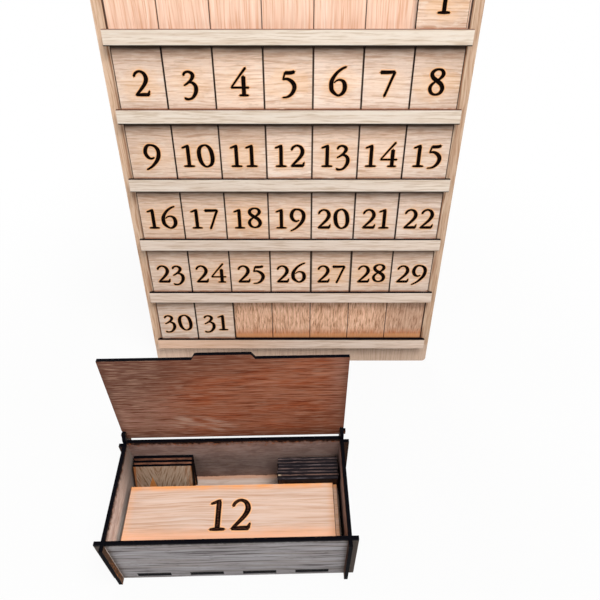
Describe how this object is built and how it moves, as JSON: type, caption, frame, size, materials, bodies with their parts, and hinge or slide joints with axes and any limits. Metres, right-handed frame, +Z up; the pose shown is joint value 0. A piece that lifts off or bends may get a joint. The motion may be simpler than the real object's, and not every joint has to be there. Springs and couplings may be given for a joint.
{
  "type": "perpetual desk calendar",
  "caption": "Leaning wooden perpetual calendar with loose number tiles on rails, and a small hinged-lid box for the spare plates and tiles.",
  "frame": {"origin": "middle of the whole set's footprint, at desk height", "axes": "+X to the viewer's right along the board, +Y away from the viewer, +Z up"},
  "size_m": [0.3, 0.3654, 0.479],
  "materials": {
    "board_wood": "sanded light plywood",
    "rail_wood": "sanded pale plywood, scorched long edges",
    "tile_wood": "sanded light plywood, engraved and scorched",
    "plate_wood": "sanded light plywood, engraved",
    "box_wood": "grey brown stained plywood, charred edges",
    "spare_wood": "plywood with charred edges",
    "brass": "satin",
    "steel": "satin"
  },
  "bodies": {
    "board": {"backboard": "board_wood", "rail_spacers": "rail_wood", "rail_lip_1": "rail_wood", "rail_lip_2": "rail_wood", "rail_lip_3": "rail_wood", "rail_lip_4": "rail_wood", "rail_lip_5": "rail_wood", "rail_lip_6": "rail_wood", "rail_lip_7": "rail_wood", "rail_lip_8": "rail_wood", "strut_cleat": "board_wood", "hinge_leaf_fixed": "brass", "hinge_pin": "steel", "hinge_screws_fixed": "brass"},
    "strut": {"strut": "board_wood", "hinge_leaf_moving": "brass", "hinge_screws_moving": "brass"},
    "tile_01": {"tile_01": "tile_wood"},
    "tile_02": {"tile_02": "tile_wood"},
    "tile_03": {"tile_03": "tile_wood"},
    "tile_04": {"tile_04": "tile_wood"},
    "tile_05": {"tile_05": "tile_wood"},
    "tile_06": {"tile_06": "tile_wood"},
    "tile_07": {"tile_07": "tile_wood"},
    "tile_08": {"tile_08": "tile_wood"},
    "tile_09": {"tile_09": "tile_wood"},
    "tile_10": {"tile_10": "tile_wood"},
    "tile_11": {"tile_11": "tile_wood"},
    "tile_12": {"tile_12": "tile_wood"},
    "tile_13": {"tile_13": "tile_wood"},
    "tile_14": {"tile_14": "tile_wood"},
    "tile_15": {"tile_15": "tile_wood"},
    "tile_16": {"tile_16": "tile_wood"},
    "tile_17": {"tile_17": "tile_wood"},
    "tile_18": {"tile_18": "tile_wood"},
    "tile_19": {"tile_19": "tile_wood"},
    "tile_20": {"tile_20": "tile_wood"},
    "tile_21": {"tile_21": "tile_wood"},
    "tile_22": {"tile_22": "tile_wood"},
    "tile_23": {"tile_23": "tile_wood"},
    "tile_24": {"tile_24": "tile_wood"},
    "tile_25": {"tile_25": "tile_wood"},
    "tile_26": {"tile_26": "tile_wood"},
    "tile_27": {"tile_27": "tile_wood"},
    "tile_28": {"tile_28": "tile_wood"},
    "tile_29": {"tile_29": "tile_wood"},
    "tile_30": {"tile_30": "tile_wood"},
    "tile_31": {"tile_31": "tile_wood"},
    "month_plate_shown": {"month_plate_shown": "plate_wood"},
    "box": {"box_front": "box_wood", "box_back": "box_wood", "box_side_left": "box_wood", "box_side_right": "box_wood", "box_floor": "box_wood"},
    "box_lid": {"box_lid": "box_wood"},
    "month_plate_top": {"month_plate_top": "plate_wood"},
    "month_plate_second": {"month_plate_second": "plate_wood"},
    "month_plates_lower": {"month_plates_lower": "plate_wood"},
    "spare_tiles_left": {"spare_tiles_left": "spare_wood"},
    "spare_tiles_right": {"spare_tiles_right": "spare_wood"}
  },
  "joints": [
    {"name": "strut_fold", "type": "hinge", "parent": "board", "child": "strut", "pos_m": [0, 0.12497, 0.35396], "axis": [1, 0, 0], "range_deg": [-18, 0]},
    {"name": "box_set_down", "type": "slide", "parent": "board", "child": "box", "axis": [0, 1, 0], "range_m": [-0.1, 0.08]},
    {"name": "lid_hinge", "type": "hinge", "parent": "box", "child": "box_lid", "pos_m": [-0.04768, -0.08287, 0.0702], "axis": [0.9997, 0.0225, 0], "range_deg": [0, 92.2]},
    {"name": "tile_01_along_rail", "type": "slide", "parent": "board", "child": "tile_01", "axis": [1, 0, 0], "range_m": [-0.239, 0.002]},
    {"name": "tile_02_lift", "type": "slide", "parent": "board", "child": "tile_02", "axis": [0, 0.1771, 0.9842], "range_m": [0, 0.0029]},
    {"name": "tile_03_lift", "type": "slide", "parent": "board", "child": "tile_03", "axis": [0, 0.1771, 0.9842], "range_m": [0, 0.0029]},
    {"name": "tile_04_lift", "type": "slide", "parent": "board", "child": "tile_04", "axis": [0, 0.1771, 0.9842], "range_m": [0, 0.0029]},
    {"name": "tile_05_lift", "type": "slide", "parent": "board", "child": "tile_05", "axis": [0, 0.1771, 0.9842], "range_m": [0, 0.0029]},
    {"name": "tile_06_lift", "type": "slide", "parent": "board", "child": "tile_06", "axis": [0, 0.1771, 0.9842], "range_m": [0, 0.0029]},
    {"name": "tile_07_lift", "type": "slide", "parent": "board", "child": "tile_07", "axis": [0, 0.1771, 0.9842], "range_m": [0, 0.0029]},
    {"name": "tile_08_lift", "type": "slide", "parent": "board", "child": "tile_08", "axis": [0, 0.1771, 0.9842], "range_m": [0, 0.0029]},
    {"name": "tile_09_lift", "type": "slide", "parent": "board", "child": "tile_09", "axis": [0, 0.1771, 0.9842], "range_m": [0, 0.0029]},
    {"name": "tile_10_lift", "type": "slide", "parent": "board", "child": "tile_10", "axis": [0, 0.1771, 0.9842], "range_m": [0, 0.0029]},
    {"name": "tile_11_lift", "type": "slide", "parent": "board", "child": "tile_11", "axis": [0, 0.1771, 0.9842], "range_m": [0, 0.0029]},
    {"name": "tile_12_lift", "type": "slide", "parent": "board", "child": "tile_12", "axis": [0, 0.1771, 0.9842], "range_m": [0, 0.0029]},
    {"name": "tile_13_lift", "type": "slide", "parent": "board", "child": "tile_13", "axis": [0, 0.1771, 0.9842], "range_m": [0, 0.0029]},
    {"name": "tile_14_lift", "type": "slide", "parent": "board", "child": "tile_14", "axis": [0, 0.1771, 0.9842], "range_m": [0, 0.0029]},
    {"name": "tile_15_lift", "type": "slide", "parent": "board", "child": "tile_15", "axis": [0, 0.1771, 0.9842], "range_m": [0, 0.0029]},
    {"name": "tile_16_lift", "type": "slide", "parent": "board", "child": "tile_16", "axis": [0, 0.1771, 0.9842], "range_m": [0, 0.0029]},
    {"name": "tile_17_lift", "type": "slide", "parent": "board", "child": "tile_17", "axis": [0, 0.1771, 0.9842], "range_m": [0, 0.0029]},
    {"name": "tile_18_lift", "type": "slide", "parent": "board", "child": "tile_18", "axis": [0, 0.1771, 0.9842], "range_m": [0, 0.0029]},
    {"name": "tile_19_lift", "type": "slide", "parent": "board", "child": "tile_19", "axis": [0, 0.1771, 0.9842], "range_m": [0, 0.0029]},
    {"name": "tile_20_lift", "type": "slide", "parent": "board", "child": "tile_20", "axis": [0, 0.1771, 0.9842], "range_m": [0, 0.0029]},
    {"name": "tile_21_lift", "type": "slide", "parent": "board", "child": "tile_21", "axis": [0, 0.1771, 0.9842], "range_m": [0, 0.0029]},
    {"name": "tile_22_lift", "type": "slide", "parent": "board", "child": "tile_22", "axis": [0, 0.1771, 0.9842], "range_m": [0, 0.0029]},
    {"name": "tile_23_lift", "type": "slide", "parent": "board", "child": "tile_23", "axis": [0, 0.1771, 0.9842], "range_m": [0, 0.0029]},
    {"name": "tile_24_lift", "type": "slide", "parent": "board", "child": "tile_24", "axis": [0, 0.1771, 0.9842], "range_m": [0, 0.0029]},
    {"name": "tile_25_lift", "type": "slide", "parent": "board", "child": "tile_25", "axis": [0, 0.1771, 0.9842], "range_m": [0, 0.0029]},
    {"name": "tile_26_lift", "type": "slide", "parent": "board", "child": "tile_26", "axis": [0, 0.1771, 0.9842], "range_m": [0, 0.0029]},
    {"name": "tile_27_lift", "type": "slide", "parent": "board", "child": "tile_27", "axis": [0, 0.1771, 0.9842], "range_m": [0, 0.0029]},
    {"name": "tile_28_lift", "type": "slide", "parent": "board", "child": "tile_28", "axis": [0, 0.1771, 0.9842], "range_m": [0, 0.0029]},
    {"name": "tile_29_lift", "type": "slide", "parent": "board", "child": "tile_29", "axis": [0, 0.1771, 0.9842], "range_m": [0, 0.0029]},
    {"name": "tile_30_lift", "type": "slide", "parent": "board", "child": "tile_30", "axis": [0, 0.1771, 0.9842], "range_m": [0, 0.0029]},
    {"name": "tile_31_along_rail", "type": "slide", "parent": "board", "child": "tile_31", "axis": [1, 0, 0], "range_m": [0, 0.201]},
    {"name": "month_plate_lift", "type": "slide", "parent": "board", "child": "month_plate_shown", "axis": [0, 0.1771, 0.9842], "range_m": [0, 0.0029]},
    {"name": "lower_plates_out", "type": "slide", "parent": "box", "child": "month_plates_lower", "axis": [0, 0, 1], "range_m": [0, 0.008]},
    {"name": "second_plate_out", "type": "slide", "parent": "month_plates_lower", "child": "month_plate_second", "axis": [0, 0, 1], "range_m": [0, 0.008]},
    {"name": "top_plate_out", "type": "slide", "parent": "month_plate_second", "child": "month_plate_top", "axis": [0, 0, 1], "range_m": [0, 0.009]},
    {"name": "left_spares_out", "type": "slide", "parent": "box", "child": "spare_tiles_left", "axis": [0, 0, 1], "range_m": [0, 0.019]},
    {"name": "right_spares_out", "type": "slide", "parent": "box", "child": "spare_tiles_right", "axis": [0, 0, 1], "range_m": [0, 0.019]}
  ]
}
